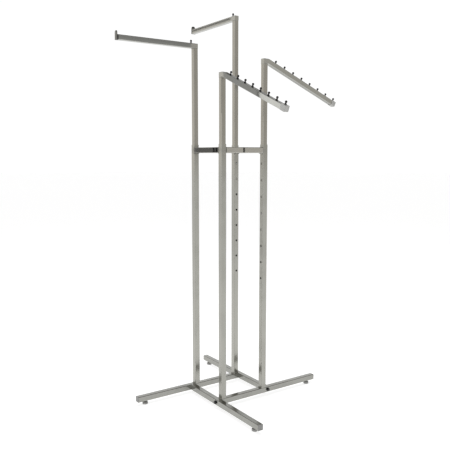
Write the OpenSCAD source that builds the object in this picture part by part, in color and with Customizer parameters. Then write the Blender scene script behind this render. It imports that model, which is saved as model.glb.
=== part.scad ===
// Four way clothing rack: a square cage of four hollow posts on four pinwheel legs.
// A square mast slides in each post on a spring button and carries one garment arm.
// Millimetres. +Z is up, the origin is on the floor under the middle of the cage.

/* [Posts and ring] */
// Outside width of the square tube of the posts, legs and ring bars
tube_w = 25.4; // [22:0.1:34]
// Wall of that tube
tube_wall = 1.2; // [1:0.1:2]
// Outside corner radius of every square tube
tube_r = 2.2; // [1.6:0.1:3]
// Spacing of the post centres along each side of the cage
post_pitch = 228.6; // [180:0.1:320]
// Height of the ring bars' centre line above the floor
ring_z = 1169; // [960:1:1450]
// How far the posts rise above the ring bars
post_rise = 13; // [4:1:40]

/* [Height setting] */
// Number of button holes in each post
hole_count = 8; // [4:1:8]
// Distance from one button hole to the next
hole_step = 76.2; // [60:0.1:92]
// Drop from the ring's centre line to the top button hole
hole_drop = 61.3; // [45:0.1:80]
// Diameter of the button holes
hole_d = 8.2; // [7:0.1:10]
// Hole that the left mast's button is in, counted from the top
left_hole = 3; // [1:1:4]
// Hole that the front mast's button is in
front_hole = 5; // [1:1:5]
// Hole that the right mast's button is in
right_hole = 4; // [1:1:4]
// Hole that the back mast's button is in
back_hole = 1; // [1:1:4]

/* [Masts] */
// Running gap between a mast and each inside face of its post
mast_gap = 0.4; // [0.2:0.05:0.8]
// Wall of the mast and arm tube
mast_wall = 1.2; // [1:0.1:1.6]
// Length of mast below its button
mast_tail = 95; // [80:1:140]
// Rise from the button to the arm's centre line
arm_rise = 688; // [600:1:820]

/* [Spring buttons] */
// Gap round the button in its holes
button_gap = 0.3; // [0.2:0.05:0.5]
// How far the button stands out of the post's face
button_proud = 2.5; // [2:0.1:4]
// Thickness of the button's inner flange
button_flange = 1.3; // [1:0.1:2]
// Height of the leaf spring below the button
spring_drop = 52; // [40:1:70]
// Thickness of the leaf spring
spring_t = 0.8; // [0.6:0.1:1]
// Width of the leaf spring
spring_w = 8; // [6:0.5:12]

/* [Straight arms] */
// Reach of a straight arm from the mast's axis to its outer face
straight_reach = 390; // [320:1:480]
// Thickness of the steel end plate
plate_t = 3; // [2:0.5:5]
// Height of the end plate above the arm's top face
plate_up = 17; // [10:1:30]
// Thickness of the black collar behind the plate
collar_t = 5; // [3:0.5:8]
// Length of the plug inside the arm
plug_in = 18; // [10:1:30]
// Distance of the single stud from the mast's axis
stud_back = 19; // [17:1:30]

/* [Slanted arms] */
// Angle of a slanted arm below level
slant = 22.5; // [15:0.5:35]
// Distance from the mast's face to the start of the knee
knee_out = 0.1; // [0:0.1:10]
// Centre line radius of the knee
knee_r = 25; // [22:1:40]
// Gap left at the weld between the knee and the level end
knee_seam = 0.02; // [0.01:0.01:0.05]
// Length of the slope from the knee to the cap's outer face
slope_len = 451; // [450:1:560]
// Number of ball studs on a slanted arm
stud_count = 8; // [2:1:8]
// Distance along the slope from the knee to the first stud
stud_first = 45.5; // [30:0.5:48]
// Distance between the studs
stud_step = 56; // [46:0.5:56]
// Length of the cap over the arm's end
cap_len = 25; // [20:1:30]
// Wall of the cap
cap_wall = 1.4; // [1:0.1:2]

/* [Studs] */
// Diameter of a stud's ball
ball_d = 10; // [7:0.5:12]
// Height of the ball's centre above the arm
ball_up = 11; // [9:0.5:15]
// Diameter of the stud's neck
neck_d = 5.6; // [4:0.1:6]
// Diameter of the stud's collar
stud_collar_d = 10; // [7:0.5:12]
// Height of the stud's collar
stud_collar_h = 4; // [2:0.1:4]
// Diameter of the riveted shank
shank_d = 4; // [3:0.1:5]

/* [Legs] */
// Distance from the middle of the rack to the outer end of a leg tube
leg_reach = 431.8; // [380:0.1:530]
// Thickness of the plug's head at the end of a leg
plug_head = 3; // [2:0.5:6]
// Size of the bevel round the plug's head
plug_bevel = 1.4; // [0.5:0.1:1.8]
// Length of a leg plug inside its tube
leg_plug_in = 22; // [14:1:28]
// Diameter of the bolts that join the legs
bolt_d = 8; // [6:0.5:9]
// Width across flats of the bolt heads
bolt_af = 13; // [11:0.5:15]
// Height of the bolt heads
bolt_head = 5.3; // [4:0.1:7]
// Diameter of the washers under the heads
washer_d = 17; // [16:0.5:20]
// Thickness of the washers
washer_t = 1.6; // [1:0.1:2.5]
// Clearance round a bolt in the tube wall
bolt_gap = 0.3; // [0.2:0.05:0.6]
// Length of the threaded block inside the end of a leg
block_len = 20; // [14:1:30]

/* [Levelling feet] */
// Distance from the outer end of a leg tube to its foot
foot_inset = 38; // [34:1:70]
// Height of the leg tubes above the floor
foot_h = 16; // [15:0.5:24]
// Diameter of the foot pad
pad_d = 25.4; // [20:0.1:34]
// Thickness of the foot pad
pad_h = 10; // [7:0.5:10]
// Diameter of the foot's threaded stem
stem_d = 8; // [6:0.5:10]
// Length of stem above the pad
stem_len = 24; // [22:0.5:26]
// Running clearance round the stem in its nut
stem_gap = 0.08; // [0.05:0.01:0.1]
// Width across flats of the nut pressed in the leg
nut_af = 14; // [13:0.5:18]
// Thickness of that nut
nut_h = 9; // [6:0.5:10]

/* [Ring joints] */
// Length of a spigot inside a ring bar
spigot_len = 30; // [20:1:50]
// Fitting gap of a plug or spigot inside a tube
plug_gap = 0.1; // [0:0.05:0.3]
// Diameter of the screws under the ring bars
screw_d = 5; // [4:0.5:6]
// Height of the screws' round heads
screw_head = 2.6; // [2:0.1:4]

/* [Hidden] */
half = post_pitch / 2;
leg_z = foot_h + tube_w / 2;
post_bottom = foot_h + tube_w;
post_top = ring_z + tube_w / 2 + post_rise;
tube_in = tube_w - 2 * tube_wall;
tube_in_r = tube_r - tube_wall;
mast_w = tube_in - 2 * mast_gap;
mast_in = mast_w - 2 * mast_wall;
mast_in_r = tube_r - mast_wall;
button_d = hole_d - 2 * button_gap;
button_tip = tube_w / 2 + button_proud;
button_back = mast_in / 2 - button_gap - button_flange;
button_dome_r = button_d * 0.75;
straight_tube_end = straight_reach - plate_t - collar_t;
knee_run = knee_r * tan(slant / 2);
knee_x = mast_w / 2 + knee_out + knee_run;
slope_tube_end = slope_len - cap_wall;
cap_w = mast_w + 2 * cap_wall;
side_leg_x = half + tube_w;
foot_at = leg_reach - foot_inset;
bolt_hole = bolt_d + 2 * bolt_gap;
stem_hole = stem_d + 2 * bolt_gap;
screw_at = half - tube_w / 2 - spigot_len / 2;
over = 1;
round_fn = 48;

// Each station is the right one turned about the middle of the rack.
RIGHT = 0;
BACK = 90;
LEFT = 180;
FRONT = 270;

// ---- shared shapes ----

module round_square(w, r) {
    union() {
        square([w - 2 * r, w], center = true);
        square([w, w - 2 * r], center = true);
        for (x = [-1, 1], y = [-1, 1])
            translate([x * (w / 2 - r), y * (w / 2 - r)]) circle(r, $fn = round_fn);
    }
}

// A square bar along +Z that starts at z = 0
module bar(len, w, r) {
    linear_extrude(len) round_square(w, r);
}

// A square tube along +Z that starts at z = 0
module square_tube(len, w, wall, r) {
    difference() {
        bar(len, w, r);
        translate([0, 0, -over]) bar(len + 2 * over, w - 2 * wall, r - wall);
    }
}

// Turns what lies along +Z so that it lies along +X
module along_x() {
    rotate([90, 0, 90]) children();
}

// Moves what is drawn round the right post's axis to another station
module station(turn) {
    rotate(turn) translate([half, -half, 0]) children();
}

// Height of a mast's button, and of its arm's centre line
function button_z(hole) = ring_z - hole_drop - (hole - 1) * hole_step;
function arm_z(hole) = button_z(hole) + arm_rise;

// ---- base ----

// Holes across a leg, along its local Y, for the bolt that clamps the next leg
module bolt_hole_across() {
    rotate([90, 0, 0]) cylinder(h = tube_w + 2 * over, d = bolt_hole, center = true, $fn = round_fn);
}

module stem_hole_down() {
    translate([foot_at, 0, -tube_w / 2 - over])
        cylinder(h = tube_wall + 2 * over, d = stem_hole, $fn = round_fn);
}

// The left and right legs carry two posts each and run in under both
module frame_leg() {
    color("lightslategray") translate([0, -half, leg_z]) difference() {
        translate([-half - tube_w / 2, 0, 0]) along_x()
            square_tube(leg_reach + half + tube_w / 2, tube_w, tube_wall, tube_r);
        translate([side_leg_x, 0, 0]) bolt_hole_across();
        stem_hole_down();
    }
}

// The front and back legs run beside the posts and butt against a frame leg
module side_leg() {
    color("slategray") rotate(90) translate([0, -side_leg_x, leg_z]) difference() {
        translate([-half + tube_w / 2, 0, 0]) along_x()
            square_tube(leg_reach + half - tube_w / 2, tube_w, tube_wall, tube_r);
        translate([half, 0, 0]) bolt_hole_across();
        stem_hole_down();
    }
}

// A plug drawn along +X for a tube that ends at x = 0
module end_plug() {
    color("dimgray") along_x() union() {
        translate([0, 0, -leg_plug_in]) bar(leg_plug_in, tube_in - 2 * plug_gap, tube_in_r);
        difference() {
            bar(plug_head, tube_w, tube_r);
            for (a = [0 : 90 : 270])
                rotate(a) translate([tube_w / 2, 0, plug_head]) rotate([0, 45, 0])
                    cube([plug_bevel * sqrt(2), tube_w + 2 * over, plug_bevel * sqrt(2)], center = true);
        }
    }
}

module frame_leg_plug() {
    translate([leg_reach, -half, leg_z]) end_plug();
}

module side_leg_plug() {
    rotate(90) translate([leg_reach, -side_leg_x, leg_z]) end_plug();
}

module foot_pad() {
    color("dimgray") rotate_extrude($fn = round_fn)
        polygon([[0, 0], [pad_d / 2 - 1.2, 0], [pad_d / 2, 1.2], [pad_d / 2, pad_h - 3],
            [pad_d / 2 - 3, pad_h], [0, pad_h]]);
}

module foot_stem() {
    color("silver") translate([0, 0, pad_h]) cylinder(h = stem_len, d = stem_d, $fn = round_fn);
}

module foot_nut() {
    color("goldenrod") translate([0, 0, foot_h + tube_wall]) difference() {
        cylinder(h = nut_h, d = nut_af / cos(30), $fn = 6);
        translate([0, 0, -over])
            cylinder(h = nut_h + 2 * over, d = stem_d + 2 * stem_gap, $fn = round_fn);
    }
}

module at_frame_foot() {
    translate([foot_at, -half, 0]) children();
}

module at_side_foot() {
    rotate(90) translate([foot_at, -side_leg_x, 0]) children();
}

module foot_nuts() {
    for (turn = [0, 180]) rotate(turn) {
        at_frame_foot() foot_nut();
        at_side_foot() foot_nut();
    }
}

// A bolt whose head rests on a face at y = 0 and whose shank runs to +Y
module base_bolt() {
    color("black") rotate([-90, 0, 0]) {
        translate([0, 0, -washer_t]) cylinder(h = washer_t, d = washer_d, $fn = round_fn);
        translate([0, 0, -washer_t - bolt_head])
            cylinder(h = bolt_head, d = bolt_af / cos(30), $fn = 6);
        cylinder(h = tube_w + block_len - 2, d = bolt_d, $fn = round_fn);
    }
}

// The threaded block that the bolt screws into, inside the end of the clamped leg
module bolt_block() {
    color("goldenrod") translate([0, tube_w, 0]) rotate([-90, 0, 0]) difference() {
        bar(block_len, tube_in - 2 * plug_gap, tube_in_r);
        translate([0, 0, -over]) cylinder(h = block_len + 2 * over, d = bolt_d, $fn = round_fn);
    }
}

// Places a bolt drawn on y = 0 at each of the four leg joints
module at_leg_joints() {
    for (turn = [0, 180]) rotate(turn) {
        translate([side_leg_x, -half - tube_w / 2, leg_z]) children();
        rotate(90) translate([half, -side_leg_x - tube_w / 2, leg_z]) children();
    }
}

module base_bolts() {
    at_leg_joints() base_bolt();
}

module base_bolt_blocks() {
    at_leg_joints() bolt_block();
}

// ---- cage ----

module post(turn) {
    color("silver") station(turn) difference() {
        translate([0, 0, post_bottom])
            square_tube(post_top - post_bottom, tube_w, tube_wall, tube_r);
        for (hole = [1 : hole_count])
            translate([-tube_w / 2 - over, 0, button_z(hole)]) rotate([0, 90, 0])
                cylinder(h = tube_wall + 2 * over, d = hole_d, $fn = round_fn);
    }
}

module ring_bar(turn) {
    color("gainsboro") rotate(turn) translate([-half + tube_w / 2, -half, ring_z]) along_x()
        square_tube(post_pitch - tube_w, tube_w, tube_wall, tube_r);
}

// The two cross bars slip over spigots on the posts and take a screw from below
module slip_bar(turn) {
    color("gainsboro") rotate(turn) translate([0, -half, ring_z]) difference() {
        translate([-half + tube_w / 2, 0, 0]) along_x()
            square_tube(post_pitch - tube_w, tube_w, tube_wall, tube_r);
        for (side = [-1, 1])
            translate([side * screw_at, 0, -tube_w / 2 - over])
                cylinder(h = tube_wall + 2 * over, d = screw_d + 2 * bolt_gap, $fn = round_fn);
    }
}

module at_spigots() {
    for (turn = [90, 270], side = [-1, 1])
        rotate(turn) translate([side * screw_at, -half, ring_z]) children();
}

module ring_spigots() {
    color("goldenrod") at_spigots() difference() {
        translate([-spigot_len / 2, 0, 0]) along_x() bar(spigot_len, tube_in - 2 * plug_gap, tube_in_r);
        translate([0, 0, -tube_in / 2 - over])
            cylinder(h = tube_in / 2 + over, d = screw_d, $fn = round_fn);
    }
}

module ring_screws() {
    color("black") at_spigots() translate([0, 0, -tube_w / 2]) {
        translate([0, 0, -screw_head]) cylinder(h = screw_head, d = 2 * screw_d, $fn = round_fn);
        cylinder(h = tube_w / 2 - 1, d = screw_d, $fn = round_fn);
    }
}

// ---- masts and spring buttons ----

module mast(turn, hole) {
    bottom = button_z(hole) - mast_tail;
    color("lightgray") station(turn) difference() {
        translate([0, 0, bottom])
            square_tube(arm_z(hole) - mast_w / 2 - bottom, mast_w, mast_wall, tube_r);
        translate([-mast_w / 2 - over, 0, button_z(hole)]) rotate([0, 90, 0])
            cylinder(h = mast_wall + 2 * over, d = hole_d, $fn = round_fn);
    }
}

module button(turn, hole) {
    color("dimgray") station(turn) translate([0, 0, button_z(hole)]) rotate([0, -90, 0]) union() {
        translate([0, 0, button_back])
            cylinder(h = button_flange, d = button_d + 2, $fn = round_fn);
        intersection() {
            translate([0, 0, button_back])
                cylinder(h = button_tip - button_back, d = button_d, $fn = round_fn);
            translate([0, 0, button_tip - button_dome_r]) union() {
                sphere(button_dome_r, $fn = round_fn);
                translate([0, 0, -mast_w]) cylinder(h = mast_w, d = 2 * button_dome_r, $fn = round_fn);
            }
        }
    }
}

// A leaf bent to a narrow V: one leg behind the button, the other on the far wall
module button_spring(turn, hole) {
    far = -mast_in / 2;
    near = button_back;
    color("steelblue") station(turn) translate([0, 0, button_z(hole)]) rotate([90, 0, 0])
        linear_extrude(spring_w, center = true)
            polygon([
                [-near, 6], [-near, -6], [-1, -spring_drop], [1, -spring_drop],
                [-far, -6], [-far, 6], [-far - spring_t, 6], [-far - spring_t, -6],
                [spring_t * 0.2, -spring_drop + 3], [-spring_t * 0.2, -spring_drop + 3],
                [-near + spring_t, -6], [-near + spring_t, 6]
            ]);
}

// ---- arms ----

// A stud that stands on z = 0 with its shank below
module stud() {
    color("black") union() {
        translate([0, 0, -mast_wall - 1.5]) cylinder(h = mast_wall + 2, d = shank_d, $fn = round_fn);
        cylinder(h = stud_collar_h, d = stud_collar_d, $fn = round_fn);
        cylinder(h = ball_up, d = neck_d, $fn = round_fn);
        translate([0, 0, ball_up]) sphere(d = ball_d, $fn = round_fn);
    }
}

module stud_hole() {
    translate([0, 0, -mast_wall - over])
        cylinder(h = mast_wall + 2 * over, d = shank_d, $fn = round_fn);
}

module at_straight_stud() {
    translate([stud_back, 0, mast_w / 2]) children();
}

module straight_arm(turn, hole) {
    color("silver") station(turn) translate([0, 0, arm_z(hole)]) difference() {
        translate([-mast_w / 2, 0, 0]) along_x() bar(straight_tube_end + mast_w / 2, mast_w, tube_r);
        translate([-mast_w / 2 + mast_wall, 0, 0]) along_x()
            bar(straight_tube_end + mast_w / 2, mast_in, mast_in_r);
        at_straight_stud() stud_hole();
    }
}

module straight_arm_stud(turn, hole) {
    station(turn) translate([0, 0, arm_z(hole)]) at_straight_stud() stud();
}

// The collar is the head of the plug that closes the arm
module arm_collar(turn, hole) {
    color("black") station(turn) translate([straight_tube_end, 0, arm_z(hole)]) along_x() union() {
        translate([0, 0, -plug_in]) bar(plug_in, mast_in - 2 * plug_gap, mast_in_r);
        bar(collar_t, mast_w, tube_r);
    }
}

module arm_plate(turn, hole) {
    low = -mast_w / 2;
    round_z = mast_w / 2 + plate_up - mast_w / 2;
    color("silver") station(turn) translate([straight_reach - plate_t, 0, arm_z(hole)]) along_x()
        linear_extrude(plate_t) union() {
            translate([-mast_w / 2, low]) square([mast_w, round_z - low]);
            translate([0, round_z]) circle(d = mast_w, $fn = round_fn);
        }
}

// Draws children in the slope's own frame: +X down the slope, +Z out of its top face
module on_slope() {
    translate([knee_x, 0, 0]) rotate([0, slant, 0]) children();
}

// The ring of wall that a tube's end shows
module tube_section() {
    difference() {
        round_square(mast_w, tube_r);
        round_square(mast_in, mast_in_r);
    }
}

// Puts what is drawn about the knee's centre, turned to the slant, in its place
module at_knee() {
    translate([knee_x - knee_run, 0, -knee_r]) rotate([0, slant, 0]) children();
}

// The knee and the slope below it
module knee_and_slope() {
    union() {
        at_knee() rotate([90, 0, 0]) rotate(90) rotate_extrude(angle = slant, $fn = 4 * round_fn)
            translate([knee_r, 0]) tube_section();
        at_knee() translate([0, 0, knee_r]) along_x()
            linear_extrude(slope_tube_end - knee_run) tube_section();
    }
}

// The level end over the mast, closed at its back, welded to the knee
module level_end() {
    len = knee_x - knee_run - knee_seam + mast_w / 2;
    translate([-mast_w / 2, 0, 0]) difference() {
        along_x() bar(len, mast_w, tube_r);
        translate([mast_wall, 0, 0]) along_x() bar(len, mast_in, mast_in_r);
    }
}

module at_slope_studs() {
    on_slope() for (i = [0 : stud_count - 1])
        translate([stud_first + i * stud_step, 0, mast_w / 2]) children();
}

module slanted_arm(turn, hole) {
    color("silver") station(turn) translate([0, 0, arm_z(hole)]) difference() {
        union() {
            level_end();
            knee_and_slope();
        }
        at_slope_studs() stud_hole();
    }
}

// A stud over the cap stands on the cap, the others on the arm
module slope_studs(turn, hole) {
    station(turn) translate([0, 0, arm_z(hole)]) on_slope()
        for (i = [0 : stud_count - 1]) {
            at = stud_first + i * stud_step;
            on_cap = at + stud_collar_d / 2 > slope_len - cap_len;
            translate([at, 0, mast_w / 2 + (on_cap ? cap_wall : 0)]) stud();
        }
}

module arm_cap(turn, hole) {
    color("gray") station(turn) translate([0, 0, arm_z(hole)]) on_slope() difference() {
        translate([slope_len - cap_len, 0, 0]) along_x() bar(cap_len, cap_w, tube_r + cap_wall);
        translate([slope_len - cap_len - over, 0, 0]) along_x()
            bar(cap_len - cap_wall + over, mast_w, tube_r);
        for (i = [0 : stud_count - 1])
            translate([stud_first + i * stud_step, 0, mast_w / 2 - over])
                cylinder(h = cap_wall + 2 * over, d = shank_d, $fn = round_fn);
    }
}

// ---- what is drawn ----

rotate(LEFT) frame_leg();  // left_leg
frame_leg();  // right_leg
rotate(180) side_leg();  // front_leg
side_leg();  // back_leg
rotate(180) frame_leg_plug();  // left_leg_plug
frame_leg_plug();  // right_leg_plug
rotate(180) side_leg_plug();  // front_leg_plug
side_leg_plug();  // back_leg_plug

rotate(180) at_frame_foot() foot_pad();  // left_foot_pad
at_frame_foot() foot_pad();  // right_foot_pad
rotate(180) at_side_foot() foot_pad();  // front_foot_pad
at_side_foot() foot_pad();  // back_foot_pad
rotate(180) at_frame_foot() foot_stem();  // left_foot_stem
at_frame_foot() foot_stem();  // right_foot_stem
rotate(180) at_side_foot() foot_stem();  // front_foot_stem
at_side_foot() foot_stem();  // back_foot_stem
foot_nuts();
base_bolts();
base_bolt_blocks();

post(LEFT);  // left_post
post(FRONT);  // front_post
post(RIGHT);  // right_post
post(BACK);  // back_post
ring_bar(0);  // ring_bar_front
ring_bar(180);  // ring_bar_back
slip_bar(90);  // ring_bar_right
slip_bar(270);  // ring_bar_left
ring_spigots();
ring_screws();

mast(LEFT, left_hole);  // left_mast
mast(FRONT, front_hole);  // front_mast
mast(RIGHT, right_hole);  // right_mast
mast(BACK, back_hole);  // back_mast
button(LEFT, left_hole);  // left_button
button(FRONT, front_hole);  // front_button
button(RIGHT, right_hole);  // right_button
button(BACK, back_hole);  // back_button
button_spring(LEFT, left_hole);  // left_button_spring
button_spring(FRONT, front_hole);  // front_button_spring
button_spring(RIGHT, right_hole);  // right_button_spring
button_spring(BACK, back_hole);  // back_button_spring

straight_arm(LEFT, left_hole);  // left_arm
straight_arm(BACK, back_hole);  // back_arm
straight_arm_stud(LEFT, left_hole);  // left_arm_stud
straight_arm_stud(BACK, back_hole);  // back_arm_stud
arm_plate(LEFT, left_hole);  // left_arm_plate
arm_plate(BACK, back_hole);  // back_arm_plate
arm_collar(LEFT, left_hole);  // left_arm_collar
arm_collar(BACK, back_hole);  // back_arm_collar
slanted_arm(FRONT, front_hole);  // front_arm
slanted_arm(RIGHT, right_hole);  // right_arm
slope_studs(FRONT, front_hole);  // front_arm_studs
slope_studs(RIGHT, right_hole);  // right_arm_studs
arm_cap(FRONT, front_hole);  // front_arm_cap
arm_cap(RIGHT, right_hole);  // right_arm_cap
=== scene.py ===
import math

import bmesh
import bpy
from mathutils import Matrix, Vector


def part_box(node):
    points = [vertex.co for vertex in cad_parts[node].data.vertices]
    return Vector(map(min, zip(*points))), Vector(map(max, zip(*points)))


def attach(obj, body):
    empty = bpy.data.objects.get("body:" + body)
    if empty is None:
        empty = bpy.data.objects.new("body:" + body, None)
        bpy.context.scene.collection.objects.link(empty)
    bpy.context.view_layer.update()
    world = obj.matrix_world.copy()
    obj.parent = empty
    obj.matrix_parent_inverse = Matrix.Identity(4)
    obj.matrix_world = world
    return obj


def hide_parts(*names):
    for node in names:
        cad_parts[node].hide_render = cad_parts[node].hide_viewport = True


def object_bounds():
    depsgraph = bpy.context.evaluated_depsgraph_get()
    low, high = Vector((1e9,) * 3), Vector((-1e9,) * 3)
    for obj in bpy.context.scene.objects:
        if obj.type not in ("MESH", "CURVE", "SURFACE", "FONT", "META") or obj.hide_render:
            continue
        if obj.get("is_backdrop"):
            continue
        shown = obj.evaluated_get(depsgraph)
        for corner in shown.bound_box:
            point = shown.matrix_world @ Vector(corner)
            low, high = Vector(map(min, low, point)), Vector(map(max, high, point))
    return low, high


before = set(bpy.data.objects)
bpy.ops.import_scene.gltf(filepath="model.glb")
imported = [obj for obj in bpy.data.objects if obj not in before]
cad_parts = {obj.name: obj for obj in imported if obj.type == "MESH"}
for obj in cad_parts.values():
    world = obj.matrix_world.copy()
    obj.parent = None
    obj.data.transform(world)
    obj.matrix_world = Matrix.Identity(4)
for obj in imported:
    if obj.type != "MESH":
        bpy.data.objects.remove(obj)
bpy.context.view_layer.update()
bpy.context.scene.view_settings.view_transform = "Standard"


# ---- Legs ----
# Four lengths of 1 in square steel tube, bright chrome plated, set like a pinwheel: the inner end
# of each is bolted against the side of the next. Two of them carry the posts, welded on top.

leg_low, leg_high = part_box("right_leg")
TUBE = leg_high.z - leg_low.z
TUBE_CORNER = 0.0022
LEG_Z = (leg_high.z + leg_low.z) / 2


class Wire:
    """What comes out of a node. Arithmetic on it adds the Math nodes that work it out."""

    def __init__(self, finish, socket):
        self.finish, self.socket = finish, socket

    def maths(self, operation, *terms):
        return self.finish.node("Math", {"operation": operation}, dict(enumerate(terms)))

    def __add__(self, other):
        return self.maths("ADD", self, other)

    def __sub__(self, other):
        return self.maths("SUBTRACT", self, other)

    def __rsub__(self, other):
        return self.maths("SUBTRACT", other, self)

    def __mul__(self, other):
        return self.maths("MULTIPLY", self, other)

    __radd__, __rmul__ = __add__, __mul__


class Finish:
    """A surface finish: a material, its shader, and the nodes that vary it."""

    def __init__(self, name, owner=None):
        self.material = owner or bpy.data.materials.new(name)
        self.material.use_nodes = True
        self.tree = self.material.node_tree
        self.shader = self.tree.nodes.get("Principled BSDF") or self.tree.nodes.get("Background")

    def node(self, kind, settings=None, values=None, output=0):
        made = self.tree.nodes.new("ShaderNode" + kind)
        for name, setting in (settings or {}).items():
            setattr(made, name, setting)
        for socket, value in (values or {}).items():
            self.join(value, made.inputs[socket])
        return Wire(self, made.outputs[output])

    def join(self, value, socket):
        if isinstance(value, Wire):
            self.tree.links.new(value.socket, socket)
        else:
            socket.default_value = value

    def feed(self, **inputs):
        for name, value in inputs.items():
            self.join(value, self.shader.inputs[name.replace("_", " ")])

    def grain(self, scale, detail=3.0):
        """Noise on the piece's own coordinates, in features for each metre along X, Y and Z."""
        place = self.node("TexCoord", output="Object")
        stretched = self.node("Mapping", {}, {"Vector": place, "Scale": scale})
        values = {"Vector": stretched, "Scale": 1.0, "Detail": detail, "Roughness": 0.55}
        return self.node("TexNoise", {}, values)

    def span(self, value, low, high, to_low, to_high):
        """A value brought smoothly from one span to another, and held at its ends."""
        values = {0: value, 1: low, 2: high, 3: to_low, 4: to_high}
        return self.node("MapRange", {"interpolation_type": "SMOOTHSTEP"}, values)

    def tint(self, share, one, other):
        """One colour where share is 0, the other where it is 1."""
        colours = {0: share, 6: (*one, 1), 7: (*other, 1)}
        return self.node("Mix", {"data_type": "RGBA"}, colours, output=2)


def chrome(name, along, colour, shade_at=()):
    """Chrome on drawn tube: hair lines along the tube, cloudy handling marks, a few pits.
    The last argument lists heights at joints where painted shade darkens the plate, which is also made
    rougher there."""
    finish = Finish(name)
    line = tuple(6.0 if axis == along else 900.0 for axis in "XYZ")
    lines = finish.grain(line, detail=2.0)
    clouds = finish.grain((14.0, 14.0, 9.0), detail=4.0)
    pits = finish.grain((1600.0, 1600.0, 1600.0), detail=1.0)
    handled = finish.span(clouds, 0.42, 0.68, 0.0, 1.0)
    pitted = finish.span(pits, 0.70, 0.78, 0.0, 1.0)
    dull_and_shade = handled * 0.35
    height = finish.node("SeparateXYZ", {}, {0: finish.node("TexCoord", output="Object")}, output=2)
    # Painted shade: the plate is darker, and rougher, round each listed height.
    for centre, reach in shade_at:
        away = finish.node("Math", {"operation": "ABSOLUTE"}, {0: height - centre})
        dull_and_shade = dull_and_shade + finish.span(away, 0.0, reach, 0.6, 0.0)
    darker = tuple(0.80 * part for part in colour)
    plate = finish.tint(dull_and_shade + pitted * 0.6 + (lines - 0.5) * 0.5, colour, darker)
    finish.feed(Base_Color=plate, Metallic=1.0, Roughness=0.13 + dull_and_shade * 0.16 + lines * 0.05)
    bump = {"Strength": 0.1, "Distance": 0.00004, "Height": lines + clouds * 4.0 - pitted * 0.5}
    finish.feed(Normal=finish.node("Bump", {}, bump))
    return finish.material


def coat(node, material):
    """Gives a part of the frame its finish."""
    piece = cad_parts[node]
    piece.data.materials.clear()
    piece.data.materials.append(material)


LEG_GREY = (0.325, 0.325, 0.302)
leg_chrome_x = chrome("leg_chrome_x", "X", LEG_GREY)
leg_chrome_y = chrome("leg_chrome_y", "Y", LEG_GREY)
for leg, material in [("left", leg_chrome_x), ("right", leg_chrome_x),
                      ("front", leg_chrome_y), ("back", leg_chrome_y)]:
    coat(leg + "_leg", material)


# ---- Leg plugs ----
# A grey moulded plug is pushed into the open end of each leg. Its head is as wide as the tube, with
# softened edges, a shallow dished face and the mark of the pin that pushed it out of its mould.

PLUG_HEAD = 0.003
PLUG_SOFT = 0.0012
PLUG_DISH = 0.0004
PIN_MARK = 0.0003
PLUG_SHANK = TUBE - 0.0026
SHANK_CORNER = 0.001
PLUG_DEEP = 0.022
STATION_TURN = {"right": 0, "back": 90, "left": 180, "front": 270}
HALF = (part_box("right_post")[0].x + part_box("right_post")[1].x) / 2
LEG_REACH = leg_high.x


def begin():
    """Opens the active piece for editing with nothing selected."""
    bpy.ops.object.mode_set(mode="EDIT")
    bpy.ops.mesh.select_all(action="DESELECT")


def finish_shape(name):
    """Closes the edit, turns the faces outwards and puts the piece's place in its mesh."""
    bpy.ops.mesh.select_all(action="SELECT")
    bpy.ops.mesh.remove_doubles(threshold=0.000002)
    bpy.ops.mesh.normals_make_consistent(inside=False)
    bpy.ops.object.mode_set(mode="OBJECT")
    piece = bpy.context.object
    piece.name = piece.data.name = name
    bpy.ops.object.transform_apply(location=True, rotation=True, scale=True)
    bpy.ops.object.shade_smooth_by_angle(angle=math.radians(35))
    return piece


def pick(kind, wanted):
    """Selects the faces or edges of the open piece that wanted() says yes to."""
    bpy.ops.mesh.select_mode(type={"faces": "FACE", "edges": "EDGE"}[kind])
    bpy.ops.mesh.select_all(action="DESELECT")
    mesh = bmesh.from_edit_mesh(bpy.context.object.data)
    for element in getattr(mesh, kind):
        if wanted(element):
            element.select_set(True)
    mesh.select_flush_mode()
    bmesh.update_edit_mesh(bpy.context.object.data)


def narrow(share):
    """Draws a smaller copy of the picked face inside it."""
    bpy.ops.mesh.inset(thickness=0.00002)
    bpy.ops.transform.resize(value=(share, share, share))


def middle(element):
    return sum((corner.co for corner in element.verts), Vector()) / len(element.verts)


def runs_along(edge, axis):
    way = edge.verts[1].co - edge.verts[0].co
    return abs(way[axis]) > 0.99 * way.length


def new_block(low, high):
    """A block between two corners, open for editing."""
    bpy.ops.object.select_all(action="DESELECT")
    low, high = Vector(low), Vector(high)
    bpy.ops.mesh.primitive_cube_add(size=1, location=(low + high) / 2)
    bpy.context.object.scale = high - low
    bpy.ops.object.transform_apply(location=True, rotation=True, scale=True)
    begin()


def square_stick(start, end, width, corner):
    """A square bar along X with rounded long edges, open for editing."""
    new_block((start, -width / 2, -width / 2), (end, width / 2, width / 2))
    pick("edges", lambda edge: runs_along(edge, 0))
    bpy.ops.mesh.bevel(offset=corner, offset_type="OFFSET", segments=4, affect="EDGES")


def soften_end(x, by, steps=3):
    """Rounds the rim of the end face at x."""
    pick("edges", lambda edge: all(abs(corner.co.x - x) < 1e-6 for corner in edge.verts))
    bpy.ops.mesh.bevel(offset=by, offset_type="OFFSET", segments=steps, affect="EDGES")


def set_down(pattern, name, place, body, material, stands_for=None):
    """A copy of a modelled piece, set in its place on the rack."""
    piece = pattern.copy()
    piece.data = pattern.data.copy()
    piece.name = piece.data.name = name
    piece.data.transform(place)
    bpy.context.scene.collection.objects.link(piece)
    piece.data.materials.clear()
    piece.data.materials.append(material)
    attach(piece, body)
    if stands_for:
        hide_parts(stands_for)


def put_away(*patterns):
    """Clears the patterns that copies were taken from."""
    for pattern in patterns:
        mesh = pattern.data
        bpy.data.objects.remove(pattern)
        bpy.data.meshes.remove(mesh)


def turned_by(degrees):
    return Matrix.Rotation(math.radians(degrees), 4, "Z")


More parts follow.
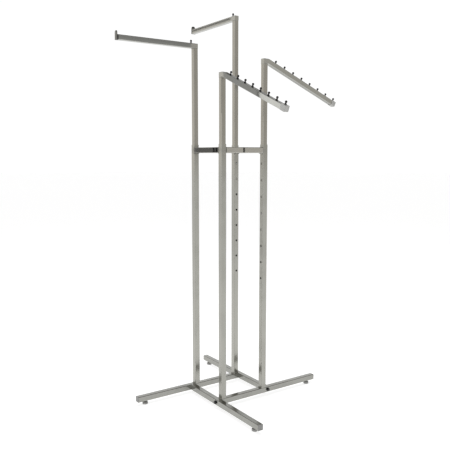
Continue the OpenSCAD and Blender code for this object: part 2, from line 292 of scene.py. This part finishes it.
def moulded(name, colour, worn, rough=0.5):
    """Moulded plastic: a spark-eroded grain, cloudy scuffs and a little dust in the grain."""
    finish = Finish(name)
    grain = finish.grain((2600.0, 2600.0, 2600.0), detail=2.0)
    scuffs = finish.span(finish.grain((120.0, 120.0, 60.0), detail=5.0), 0.5, 0.72, 0.0, 1.0)
    finish.feed(Base_Color=finish.tint(scuffs * 0.55 + grain * 0.2, colour, worn))
    finish.feed(Roughness=rough + scuffs * 0.18 + grain * 0.08, Specular_IOR_Level=0.45)
    bump = {"Strength": 0.35, "Distance": 0.0001, "Height": grain + scuffs * 0.6}
    finish.feed(Normal=finish.node("Bump", {}, bump))
    return finish.material


plug_grey = moulded("plug_grey", (0.27, 0.27, 0.262), (0.37, 0.37, 0.36))

square_stick(-PLUG_DEEP, 0, PLUG_SHANK, SHANK_CORNER)
pick("faces", lambda face: face.normal.x > 0.9)
narrow(0.8)
plug_shank = finish_shape("plug_shank")
square_stick(0, PLUG_HEAD, TUBE, TUBE_CORNER)
soften_end(PLUG_HEAD, PLUG_SOFT)
pick("faces", lambda face: face.normal.x > 0.99)
narrow(0.86)
bpy.ops.mesh.extrude_region_move(TRANSFORM_OT_translate={"value": (-PLUG_DISH, 0, 0)})
narrow(0.36)
bpy.ops.mesh.extrude_region_move(TRANSFORM_OT_translate={"value": (-PIN_MARK, 0, 0)})
plug = finish_shape("plug")


def join(name, *parts):
    """Makes one piece of several."""
    bpy.ops.object.select_all(action="DESELECT")
    for part in parts:
        part.select_set(True)
    bpy.context.view_layer.objects.active = parts[0]
    bpy.ops.object.join()
    parts[0].name = parts[0].data.name = name
    return parts[0]


plug = join("plug", plug, plug_shank)
SIDE_LEG = HALF + TUBE
for leg, across in [("right", HALF), ("back", SIDE_LEG), ("left", HALF), ("front", SIDE_LEG)]:
    end = turned_by(STATION_TURN[leg]) @ Matrix.Translation((LEG_REACH, -across, LEG_Z))
    set_down(plug, leg + "_end_plug", end, "base", plug_grey, leg + "_leg_plug")
put_away(plug)


# ---- Levelling feet ----
# A round moulded pad with a ribbed grip, fixed on a zinc plated stud that screws up into a nut
# inside the leg. Turning the pad by hand levels the rack on an uneven floor.

PAD_R = 0.0127
PAD_H = 0.010
PAD_SIDES = 60
RIB_TURN = 360 / PAD_SIDES
STEM_R = 0.004
STEM_TOP = 0.034
THREAD_PITCH = 0.00125


def turned(name, profile, sides=32):
    """A round piece drawn up from a disc. profile is (radius, height) from the bottom."""
    bpy.ops.object.select_all(action="DESELECT")
    radius, height = profile[0]
    bpy.ops.mesh.primitive_circle_add(vertices=sides, radius=radius, fill_type="NGON")
    bpy.ops.object.mode_set(mode="EDIT")
    bpy.ops.mesh.select_all(action="SELECT")
    bpy.ops.transform.translate(value=(0, 0, height))
    for wider, higher in profile[1:]:
        bpy.ops.mesh.extrude_region_move(TRANSFORM_OT_translate={"value": (0, 0, higher - height)})
        share = wider / radius
        bpy.ops.transform.resize(value=(share, share, 1), center_override=(0, 0, higher))
        radius, height = wider, higher
    return finish_shape(name)


def arc(middle_height, radius, start, end, steps):
    """Points of a ball's outline, from one angle above level to another."""
    angles = [math.radians(start + (end - start) * i / steps) for i in range(steps + 1)]
    return [(radius * math.cos(a), middle_height + radius * math.sin(a)) for a in angles]


def thread(name, radius, start, end, pitch):
    """A raised helix round a stud."""
    bpy.ops.object.select_all(action="DESELECT")
    bpy.ops.mesh.primitive_circle_add(vertices=4, radius=pitch * 0.48, rotation=(math.pi / 2, 0, 0),
                                      location=(radius - pitch * 0.30, 0, start + pitch / 2))
    bpy.ops.object.transform_apply(location=True, rotation=True, scale=True)
    turns = (end - start) / pitch - 1
    helix = bpy.context.object.modifiers.new("helix", "SCREW")
    helix.angle, helix.screw_offset, helix.iterations = 2 * math.pi * turns, turns * pitch, 1
    helix.steps = helix.render_steps = int(20 * turns)
    bpy.ops.object.modifier_apply(modifier="helix")
    begin()
    pick("edges", lambda edge: edge.is_boundary)
    bpy.ops.mesh.edge_face_add()
    return finish_shape(name)


def plated(name, colour, darker, rough):
    """Plated or blackened steel: crystalline mottling, turning lines and rubbed high spots."""
    finish = Finish(name)
    mottle = finish.grain((900.0, 900.0, 900.0), detail=4.0)
    turning = finish.grain((300.0, 300.0, 5200.0), detail=1.0)
    rubbed = finish.span(finish.grain((220.0, 220.0, 220.0), detail=3.0), 0.45, 0.7, 0.0, 1.0)
    finish.feed(Base_Color=finish.tint(mottle * 0.7 + rubbed * 0.3, colour, darker), Metallic=1.0)
    finish.feed(Roughness=rough + mottle * 0.12 + rubbed * 0.1)
    bump = {"Strength": 0.2, "Distance": 0.0001, "Height": turning + mottle * 0.5}
    finish.feed(Normal=finish.node("Bump", {}, bump))
    return finish.material


foot_black = moulded("foot_black", (0.30, 0.30, 0.29), (0.42, 0.42, 0.41))
zinc = plated("zinc", (0.50, 0.50, 0.47), (0.34, 0.34, 0.33), 0.28)
foot_pad = turned("foot_pad", [
    (PAD_R - 0.0040, 0.0008), (PAD_R - 0.0034, 0.0), (PAD_R - 0.0010, 0.0), (PAD_R, 0.0012),
    (PAD_R, PAD_H - 0.0022), (PAD_R - 0.0008, PAD_H - 0.0008), (PAD_R - 0.0022, PAD_H - 0.0001),
    (PAD_R - 0.0040, PAD_H), (STEM_R, PAD_H),
], sides=PAD_SIDES)
begin()
pick("faces", lambda face: face.normal.z < 0.3 and 0.002 < middle(face).z < 0.006
     and round(math.degrees(math.atan2(middle(face).y, middle(face).x)) / RIB_TURN - 0.5) % 2 == 0)
bpy.ops.mesh.inset(thickness=0.00018, use_individual=True)
bpy.ops.transform.resize(value=(0.965, 0.965, 1), center_override=(0, 0, 0))
foot_pad = finish_shape("foot_pad")
foot_stud = turned("foot_stud", [
    (STEM_R - 0.0004, PAD_H), (STEM_R - 0.0004, STEM_TOP - 0.001), (STEM_R - 0.0014, STEM_TOP)])
foot_thread = thread("foot_thread", STEM_R, PAD_H + 0.0002, STEM_TOP - 0.001, THREAD_PITCH)
foot_stud = join("foot_stud", foot_stud, foot_thread)
for leg in STATION_TURN:
    low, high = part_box(leg + "_foot_pad")
    spot = Matrix.Translation(((low.x + high.x) / 2, (low.y + high.y) / 2, 0))
    body = leg + "_foot"
    set_down(foot_pad, leg + "_grip", spot, body, foot_black, leg + "_foot_pad")
    set_down(foot_stud, leg + "_stud", spot, body, zinc, leg + "_foot_stem")
put_away(foot_pad, foot_stud)
coat("foot_nuts", zinc)


# ---- Leg bolts ----
# A black hexagon bolt with a washer clamps each leg to the next. It passes through the one leg into
# a threaded block inside the end of the other.

BOLT_AF = 0.013
BOLT_HEAD = 0.0053
WASHER_R = 0.0085
WASHER_T = 0.0016
BLOCK_IN = 0.018
HEAD_CORNER = 0.0004
HEAD_CHAMFER = 0.0007
HEAD_DISH = 0.0004
bolt_black = plated("bolt_black", (0.035, 0.035, 0.037), (0.10, 0.098, 0.095), 0.34)

bolt_washer = turned("bolt_washer", [
    (WASHER_R - 0.0002, 0), (WASHER_R, 0.0002), (WASHER_R, WASHER_T - 0.0003),
    (WASHER_R - 0.0003, WASHER_T)], sides=40)
bpy.ops.object.select_all(action="DESELECT")
bpy.ops.mesh.primitive_cylinder_add(vertices=6, radius=BOLT_AF / math.sqrt(3), depth=BOLT_HEAD,
                                    location=(0, 0, WASHER_T + BOLT_HEAD / 2))
bpy.ops.object.transform_apply(location=True, rotation=True, scale=True)
begin()
pick("edges", lambda edge: runs_along(edge, 2))
bpy.ops.mesh.bevel(offset=HEAD_CORNER, segments=2, affect="EDGES")
pick("faces", lambda face: face.normal.z > 0.9)
narrow(0.87)
head_top = WASHER_T + BOLT_HEAD - 1e-6
pick("edges", lambda edge: all(corner.co.z > head_top and corner.co.xy.length > BOLT_AF * 0.52
                               for corner in edge.verts))
bpy.ops.transform.translate(value=(0, 0, -HEAD_CHAMFER))
pick("faces", lambda face: face.normal.z > 0.99)
narrow(0.72)
bpy.ops.mesh.extrude_region_move(TRANSFORM_OT_translate={"value": (0, 0, -HEAD_DISH)})
bolt_head = finish_shape("bolt_head")
bolt_shank = turned("bolt_shank", [
    (0.003, -TUBE - BLOCK_IN), (0.004, 0.001 - TUBE - BLOCK_IN), (0.004, 0)])
leg_bolt = join("leg_bolt", bolt_head, bolt_washer, bolt_shank)
outward = Matrix.Rotation(math.pi / 2, 4, "X")
for number, (turn, x, y) in enumerate([
        (0, SIDE_LEG, -HALF - TUBE / 2), (90, HALF, -SIDE_LEG - TUBE / 2),
        (180, SIDE_LEG, -HALF - TUBE / 2), (270, HALF, -SIDE_LEG - TUBE / 2)]):
    spot = turned_by(turn) @ Matrix.Translation((x, y, LEG_Z)) @ outward
    set_down(leg_bolt, f"leg_bolt_{number + 1}", spot, "base", bolt_black, "base_bolts")
put_away(leg_bolt)
coat("base_bolt_blocks", zinc)


# ---- Posts ----
# Four upright 1 in square tubes, chrome plated after they were welded to the legs. Each has a row
# of height holes down one face, and every hole has a dark rim.

POST_GREY = (0.375, 0.372, 0.340)
HOLES = 8
HOLE_STEP = 0.0762
HOLE_R = 0.0041
RIM_R = HOLE_R + 0.0006
RIM_T = 0.0005
TOP_HOLE = sum(point.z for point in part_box("back_button")) / 2
POST_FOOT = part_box("right_post")[0].z
RING_Z = sum(point.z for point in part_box("ring_bar_front")) / 2
# Painted shade on the posts: darker at their feet on the legs and where the ring bars meet them.
post_chrome = chrome("post_chrome", "Z", POST_GREY, shade_at=[(POST_FOOT, 0.03), (RING_Z, 0.02)])
weld_chrome = chrome("weld_chrome", "X", (0.33, 0.325, 0.30))
hole_edge = plated("hole_edge", (0.05, 0.05, 0.048), (0.09, 0.088, 0.08), 0.4)


def at_station(name):
    """The place of a post, as the right one's turned about the middle of the rack."""
    return turned_by(STATION_TURN[name]) @ Matrix.Translation((HALF, -HALF, 0))


bpy.ops.object.select_all(action="DESELECT")
bpy.ops.mesh.primitive_torus_add(major_radius=RIM_R, minor_radius=RIM_T,
                                 major_segments=28, minor_segments=8)
bpy.ops.object.mode_set(mode="EDIT")
bpy.ops.mesh.select_all(action="SELECT")
bpy.ops.transform.resize(value=(1, 1, 0.5))
hole_rim = finish_shape("hole_rim")
faces_back = Matrix.Rotation(-math.pi / 2, 4, "Y")
for post in STATION_TURN:
    coat(post + "_post", post_chrome)
    for hole in range(HOLES):
        spot = at_station(post) @ Matrix.Translation((-TUBE / 2, 0, TOP_HOLE - hole * HOLE_STEP))
        set_down(hole_rim, f"{post}_hole_rim_{hole + 1}", spot @ faces_back, "base",
                 hole_edge)
put_away(hole_rim)


# ---- Welds ----
# The posts stand on the legs in a fillet of weld on each side that has leg beyond it. The front
# and back ring bars are welded between the posts. All the welds are plated with the tube.


def weld_bead(name, length, leg, seed):
    """A fillet of weld along Y, against a wall at x = 0 and a floor at z = 0."""
    new_block((0, -length / 2, 0), (leg, length / 2, leg))
    pick("edges", lambda edge: runs_along(edge, 1))
    bpy.ops.mesh.subdivide(number_cuts=15)
    pick("edges", lambda edge: runs_along(edge, 1)
         and all(corner.co.x > leg * 0.9 and corner.co.z > leg * 0.9 for corner in edge.verts))
    bpy.ops.mesh.bevel(offset=leg * 0.8, segments=4, affect="EDGES")
    pick("faces", lambda face: face.normal.x > 0.1 and face.normal.z > 0.1)
    bpy.ops.transform.vertex_random(offset=leg * 0.09, uniform=0.5, seed=seed)
    return finish_shape(name)


FOOT_BEAD = 0.0026
RING_BEAD = 0.0014
foot_bead = weld_bead("foot_bead", TUBE - 0.003, FOOT_BEAD, 3)
for post, side in [("right", 0), ("right", 180), ("left", 0), ("left", 180),
                   ("front", 90), ("front", 270), ("back", 90), ("back", 270)]:
    wall = Matrix.Translation((TUBE / 2, 0, POST_FOOT))
    set_down(foot_bead, f"{post}_post_bead_{side}", at_station(post) @ turned_by(side) @ wall,
             "base", weld_chrome)
ring_bead = weld_bead("ring_bead", TUBE - 0.004, RING_BEAD, 5)
BAR_END = HALF - TUBE / 2
for bar, turn in [("front", 0), ("back", 180)]:
    for end in (-1, 1):
        for face in range(4):
            spot = (turned_by(turn) @ Matrix.Translation((end * BAR_END, -HALF, RING_Z))
                    @ Matrix.Rotation(0 if end > 0 else math.pi, 4, "Z")
                    @ Matrix.Rotation(face * math.pi / 2, 4, "X")
                    @ Matrix.Translation((0, 0, TUBE / 2)) @ turned_by(180))
            set_down(ring_bead, f"ring_{bar}_bead_{'left' if end < 0 else 'right'}_{face + 1}", spot,
                     "base", weld_chrome)
put_away(foot_bead, ring_bead)


# ---- Ring ----
# Four bars tie the posts together near their tops. The left and right bars slip over spigots on
# the posts, and a socket screw from below holds each end.

RING_GREY = (0.460, 0.450, 0.415)
ring_chrome_x = chrome("ring_chrome_x", "X", RING_GREY)
ring_chrome_y = chrome("ring_chrome_y", "Y", RING_GREY)
for bar, material in [("front", ring_chrome_x), ("back", ring_chrome_x),
                      ("left", ring_chrome_y), ("right", ring_chrome_y)]:
    coat("ring_bar_" + bar, material)
coat("ring_spigots", zinc)

SCREW_R = 0.0025
SCREW_HEAD = 0.0026
SOCKET_R = 0.0018
SOCKET_CUT = 0.004
SPIGOT = 0.030
ring_screw = turned("ring_screw", [
    (SCREW_R - 0.0006, -0.0117), (SCREW_R, -0.0111), (SCREW_R, 0), (2 * SCREW_R - 0.0001, 0),
    (2 * SCREW_R, 0.0002), (2 * SCREW_R, 0.0014), (2 * SCREW_R - 0.0003, 0.0020),
    (2 * SCREW_R - 0.0010, 0.0024), (2 * SCREW_R - 0.0018, SCREW_HEAD)])
bpy.ops.mesh.primitive_cylinder_add(vertices=6, radius=SOCKET_R, depth=SOCKET_CUT,
                                    location=(0, 0, SCREW_HEAD))
socket_tool = bpy.context.object
cut = ring_screw.modifiers.new("socket", "BOOLEAN")
cut.object, cut.operation = socket_tool, "DIFFERENCE"
bpy.context.view_layer.objects.active = ring_screw
bpy.ops.object.modifier_apply(modifier="socket")
put_away(socket_tool)
SCREW_AT = HALF - TUBE / 2 - SPIGOT / 2
number = 0
for turn in (90, 270):
    for end in (-1, 1):
        number += 1
        spot = (turned_by(turn) @ Matrix.Translation((end * SCREW_AT, -HALF, RING_Z - TUBE / 2))
                @ Matrix.Rotation(math.pi, 4, "X"))
        set_down(ring_screw, f"ring_screw_{number}", spot, "base", bolt_black,
                 "ring_screws")
put_away(ring_screw)


# ---- Masts ----
# Four 7/8 in square tubes slide in the posts, each held by its button in one of the post's holes.
# They are chrome plated, in a tone a little warmer than the legs'.

MAST_GREY = (0.370, 0.360, 0.325)
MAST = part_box("right_mast")[1].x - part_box("right_mast")[0].x
mast_chrome = chrome("mast_chrome", "Z", MAST_GREY)
for mast in STATION_TURN:
    coat(mast + "_mast", mast_chrome)


# ---- Spring buttons ----
# A turned steel button on a blued leaf spring clicks out through the mast and one of the post's
# holes. It is pressed in with a thumb to set the height.

button_steel = plated("button_steel", (0.42, 0.42, 0.41), (0.28, 0.28, 0.28), 0.24)
spring_steel = plated("spring_steel", (0.20, 0.23, 0.29), (0.14, 0.15, 0.19), 0.3)
BUTTON_R = 0.0038
BUTTON_TIP = 0.0152
DOME_R = 0.0057
BUTTON_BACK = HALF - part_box("right_button")[1].x
dome_start = math.degrees(math.acos(BUTTON_R / DOME_R))
button = turned("button", [
    (BUTTON_R + 0.0008, BUTTON_BACK), (BUTTON_R + 0.001, BUTTON_BACK + 0.0002),
    (BUTTON_R + 0.001, BUTTON_BACK + 0.0013), (BUTTON_R, BUTTON_BACK + 0.0013),
    *arc(BUTTON_TIP - DOME_R, DOME_R, dome_start, 86, 8)], sides=40)
for mast in STATION_TURN:
    low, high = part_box(mast + "_button")
    spot = at_station(mast) @ Matrix.Translation((0, 0, (low.z + high.z) / 2)) @ faces_back
    set_down(button, mast + "_thumb_button", spot, mast + "_button_unit",
             button_steel, mast + "_button")
    coat(mast + "_button_spring", spring_steel)
put_away(button)


# ---- Arms ----
# The arms are the masts' tube again. The left and back ones run level, the front and right ones
# turn down at a knee. Each sits on its mast's top in a bead of weld.

ARM_GREY = (0.420, 0.420, 0.392)
arm_chrome_x = chrome("arm_chrome_x", "X", ARM_GREY)
arm_chrome_y = chrome("arm_chrome_y", "Y", ARM_GREY)
ARM_BEAD = 0.0012
arm_bead = weld_bead("arm_bead", MAST - 0.0036, ARM_BEAD, 8)
for arm, material in [("left", arm_chrome_x), ("right", arm_chrome_x),
                      ("back", arm_chrome_y), ("front", arm_chrome_y)]:
    coat(arm + "_arm", material)
    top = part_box(arm + "_mast")[1].z
    for face in range(4):
        wall = Matrix.Translation((MAST / 2, 0, top)) @ Matrix.Rotation(math.pi, 4, "X")
        set_down(arm_bead, f"{arm}_arm_bead_{face + 1}", at_station(arm) @ turned_by(90 * face) @ wall,
                 arm + "_mast_unit", weld_chrome)
put_away(arm_bead)


# ---- Ends of the level arms ----
# A black moulded plug closes the tube, and a chromed steel plate with a round top is fixed to it,
# so that hangers can't slide off.

STRAIGHT_REACH = 0.390
PLATE_T = 0.003
PLATE_TOP = 0.0281
COLLAR_T = 0.005
COLLAR_DEEP = 0.018
COLLAR_SHANK = MAST - 0.0028
COLLAR_SOFT = 0.0004
PLATE_ROUND = MAST / 2 - 0.0012
PLATE_SOFT = 0.0004
collar_black = moulded("collar_black", (0.022, 0.022, 0.022), (0.06, 0.06, 0.058), rough=0.42)
plate_chrome = chrome("plate_chrome", "Z", (0.17, 0.17, 0.16))

square_stick(-COLLAR_DEEP, 0, COLLAR_SHANK, SHANK_CORNER)
collar_shank = finish_shape("collar_shank")
square_stick(0, COLLAR_T, MAST, TUBE_CORNER)
soften_end(0, COLLAR_SOFT, 2)
soften_end(COLLAR_T, COLLAR_SOFT, 2)
collar = join("collar", finish_shape("collar"), collar_shank)
new_block((0, -MAST / 2, -MAST / 2), (PLATE_T, MAST / 2, PLATE_TOP))
pick("edges", lambda edge: runs_along(edge, 0) and middle(edge).z > 0)
bpy.ops.mesh.bevel(offset=PLATE_ROUND, segments=10, affect="EDGES")
pick("edges", lambda edge: not runs_along(edge, 0))
bpy.ops.mesh.bevel(offset=PLATE_SOFT, segments=2, affect="EDGES")
end_plate = finish_shape("end_plate")
for arm in ("left", "back"):
    arm_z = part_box(arm + "_arm")[1].z - MAST / 2
    line = at_station(arm) @ Matrix.Translation((0, 0, arm_z))
    end = line @ Matrix.Translation((STRAIGHT_REACH - PLATE_T, 0, 0))
    set_down(end_plate, arm + "_end_plate", end, arm + "_mast_unit", plate_chrome,
             arm + "_arm_plate")
    behind = line @ Matrix.Translation((STRAIGHT_REACH - PLATE_T - COLLAR_T, 0, 0))
    set_down(collar, arm + "_collar", behind, arm + "_mast_unit", collar_black,
             arm + "_arm_collar")
put_away(end_plate, collar)


# ---- Caps of the slanted arms ----
# A pale grey moulded sleeve is pushed over the low end of each slanted arm. It is hollow, and its
# closed end has rounded edges and a shallow dish.

SLANT = math.radians(22.5)
KNEE_R = 0.025
KNEE_OUT = 0.0001
KNEE_X = MAST / 2 + KNEE_OUT + KNEE_R * math.tan(SLANT / 2)
SLOPE = 0.451
CAP_LEN = 0.025
CAP_WALL = 0.0014
CAP = MAST + 2 * CAP_WALL
CAP_CORNER = 0.0036
CAP_SOFT = 0.0016
CAP_DISH = 0.0004
cap_grey = moulded("cap_grey", (0.40, 0.40, 0.385), (0.52, 0.52, 0.50), rough=0.36)


def on_slope(arm, along, up=0.0):
    """A place on a slanted arm's top face: how far down the slope, and how far above it."""
    arm_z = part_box(arm + "_arm")[1].z - MAST / 2
    knee = at_station(arm) @ Matrix.Translation((KNEE_X, 0, arm_z))
    return knee @ Matrix.Rotation(SLANT, 4, "Y") @ Matrix.Translation((along, 0, up))


square_stick(-CAP_LEN, 0, CAP, CAP_CORNER)
soften_end(0, CAP_SOFT, 4)
pick("faces", lambda face: face.normal.x > 0.99)
narrow(0.72)
bpy.ops.mesh.extrude_region_move(TRANSFORM_OT_translate={"value": (-CAP_DISH, 0, 0)})
pick("faces", lambda face: face.normal.x < -0.99)
bpy.ops.mesh.inset(thickness=CAP_WALL - 0.0001)
bpy.ops.mesh.extrude_region_move(TRANSFORM_OT_translate={"value": (CAP_LEN - CAP_WALL, 0, 0)})
cap = finish_shape("cap")
for arm in ("front", "right"):
    set_down(cap, arm + "_end_cap", on_slope(arm, SLOPE), arm + "_mast_unit", cap_grey,
             arm + "_arm_cap")
put_away(cap)


# ---- Ball studs ----
# Black lacquered studs, turned from bar: a round flange, a waist and a ball that keeps a hanger's
# hook in its place. Each is riveted through the arm's top face.

BALL_R = 0.0050
BALL_UP = 0.0110
NECK_R = 0.0028
FLANGE_R = 0.0050
FLANGE_H = 0.0040
STUD_FIRST = 0.0455
STUD_STEP = 0.056
STUDS = 8
STUD_BACK = 0.019
stud_black = plated("stud_black", (0.028, 0.028, 0.028), (0.075, 0.073, 0.07), 0.2)
ball_foot = -math.degrees(math.acos(NECK_R / BALL_R))
ball_stud = turned("ball_stud", [
    (0.002, -0.0027), (0.002, 0.0), (FLANGE_R - 0.0003, 0), (FLANGE_R, 0.0003),
    (FLANGE_R, FLANGE_H - 0.0005), (FLANGE_R - 0.0005, FLANGE_H), (NECK_R + 0.0008, FLANGE_H),
    (NECK_R + 0.0002, FLANGE_H + 0.0004), (NECK_R, FLANGE_H + 0.0010),
    *arc(BALL_UP, BALL_R, ball_foot, 84, 14)], sides=28)
for arm in ("front", "right"):
    for number in range(STUDS):
        along = STUD_FIRST + number * STUD_STEP
        on_cap = along + FLANGE_R > SLOPE - CAP_LEN
        spot = on_slope(arm, along, MAST / 2 + (CAP_WALL if on_cap else 0))
        set_down(ball_stud, f"{arm}_ball_stud_{number + 1}", spot, arm + "_mast_unit",
                 stud_black, arm + "_arm_studs")
for arm in ("left", "back"):
    spot = at_station(arm) @ Matrix.Translation((STUD_BACK, 0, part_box(arm + "_arm")[1].z))
    set_down(ball_stud, arm + "_ball_stud", spot, arm + "_mast_unit", stud_black,
             arm + "_arm_stud")
put_away(ball_stud)


# ---- Floor and light ----
# A white floor, lit from within so that shadows on it stay faint, under a white sky that is much
# dimmer overhead and a little dimmer to the front right. The chrome doesn't show the soft lamp
# that hangs above, and the cards beside the ring and the arms show only in the chrome.

FLOOR_GLOW = 0.75
bpy.ops.mesh.primitive_circle_add(vertices=96, radius=40, fill_type="NGON", location=(0, 0, -0.0005))
floor = bpy.context.object
floor.name = "studio_floor"
floor_white = Finish("floor_white")
speckle = floor_white.grain((3.0, 3.0, 3.0), detail=4.0)
floor_white.feed(Base_Color=floor_white.tint(speckle, (0.52, 0.52, 0.52), (0.54, 0.54, 0.54)))
floor_white.feed(Roughness=0.8, Specular_IOR_Level=0.1)
floor_white.feed(Emission_Color=(1, 1, 1, 1), Emission_Strength=FLOOR_GLOW)
floor.data.materials.append(floor_white.material)
floor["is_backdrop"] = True

world = bpy.data.worlds.new("studio_sky")
bpy.context.scene.world = world
sky = Finish("studio_sky", world)
DIM_WAY = (0.566, -0.824, 0.10)
FULL_SKY = 1.03
SIDE_DIM = 0.34
CEILING_DIM = 0.70
way = sky.node("TexCoord", output="Generated")
towards_dim = sky.node("VectorMath", {"operation": "DOT_PRODUCT"}, {0: way, 1: DIM_WAY}, output=1)
upward = sky.node("VectorMath", {"operation": "DOT_PRODUCT"}, {0: way, 1: (0, 0, 1)}, output=1)
front_right = sky.span(towards_dim, 0.35, 0.95, 0.0, SIDE_DIM)
ceiling = sky.span(upward, 0.36, 0.52, 0.0, CEILING_DIM)
to_the_side = sky.node("Math", {"operation": "ABSOLUTE"}, {0: towards_dim})
warmed = sky.span(to_the_side, 0.8, 0.97, 0.0, 1.0)
sky.feed(Color=sky.tint(warmed, (1, 1, 1), (1, 0.97, 0.92)))
sky.feed(Strength=FULL_SKY - front_right - ceiling)


def soft_lamp(name, at, towards, wide, high, watts):
    lamp = bpy.data.lights.new(name, "AREA")
    lamp.shape, lamp.size, lamp.size_y, lamp.energy = "RECTANGLE", wide, high, watts
    stand = bpy.data.objects.new(name, lamp)
    stand.location = at
    stand.rotation_euler = (Vector(towards) - stand.location).to_track_quat("-Z", "Y").to_euler()
    stand.visible_glossy = False
    bpy.context.scene.collection.objects.link(stand)


soft_lamp("overhead", (0.2, 0.4, 4.2), (0, 0, 0.4), 2.2, 2.2, 80.0)


def card(name, at, wide, high, glow, facing=(1, 0, 0)):
    """A glowing card close to the rack, seen only in the chrome. The sky's own glow is about 1."""
    bpy.ops.object.select_all(action="DESELECT")
    bpy.ops.mesh.primitive_plane_add(size=1, location=at)
    sheet = bpy.context.object
    sheet.name = name
    sheet.scale = (wide, high, 1)
    sheet.rotation_euler = Vector(facing).to_track_quat("Z", "Y").to_euler()
    felt = Finish(name + "_felt")
    nap = felt.grain((300.0, 300.0, 300.0))
    felt.feed(Base_Color=(0, 0, 0, 1), Roughness=1.0, Specular_IOR_Level=0.0)
    felt.feed(Emission_Color=felt.tint(nap, (0.9, 0.9, 0.9), (1, 1, 1)), Emission_Strength=glow)
    sheet.data.materials.append(felt.material)
    sheet.visible_camera = sheet.visible_shadow = sheet.visible_diffuse = False
    sheet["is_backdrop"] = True


BLACK = 0.01
RING_CARD_Z = 1.170
RING_CARD_H = 0.034
card("ring_card", (-0.142, 0.0236, RING_CARD_Z), 0.205, RING_CARD_H, 0.20)
card("ring_band_1", (-0.1415, -0.042, RING_CARD_Z), 0.013, RING_CARD_H, BLACK)
card("ring_band_2", (-0.1415, -0.065, RING_CARD_Z), 0.015, RING_CARD_H, BLACK)
card("ring_band_3", (0.0044, -0.142, RING_CARD_Z), 0.009, RING_CARD_H, BLACK, facing=(0, 1, 0))
card("front_arm_inner", (-0.177, -0.1927, 1.45), 0.264, 0.24, 0.56)
card("front_arm_edge", (-0.176, -0.318, 1.39), 0.014, 0.10, 0.15)
card("front_arm_outer", (-0.177, -0.4224, 1.35), 0.195, 0.16, 1.42)
card("left_arm_card", (-0.2935, 0.052, 1.654), 0.367, 0.040, 0.49, facing=(0, 1, 0))
card("left_arm_line", (-0.2935, 0.053, 1.657), 0.367, 0.004, 0.36, facing=(0, 1, 0))
card("right_arm_under", (0.401, -0.008, 1.387), 0.030, 0.47, 0.72, facing=(0.383, 0, 0.924))
card("back_arm_line", (0.0533, 0.3975, 1.817), 0.371, 0.009, 0.22)


# ---- Camera ----
# It stands 2.8 m away at chest height, round to the front left, and looks a little down.

lens = bpy.data.cameras.new("camera")
lens.lens, lens.sensor_width = 48.1, 36.0
camera = bpy.data.objects.new("camera", lens)
camera.location = (-1.5907, -2.3138, 1.144)
camera.rotation_euler = (math.radians(83.425), 0, math.radians(-34.12))
bpy.context.scene.collection.objects.link(camera)
bpy.context.scene.camera = camera

low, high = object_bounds()
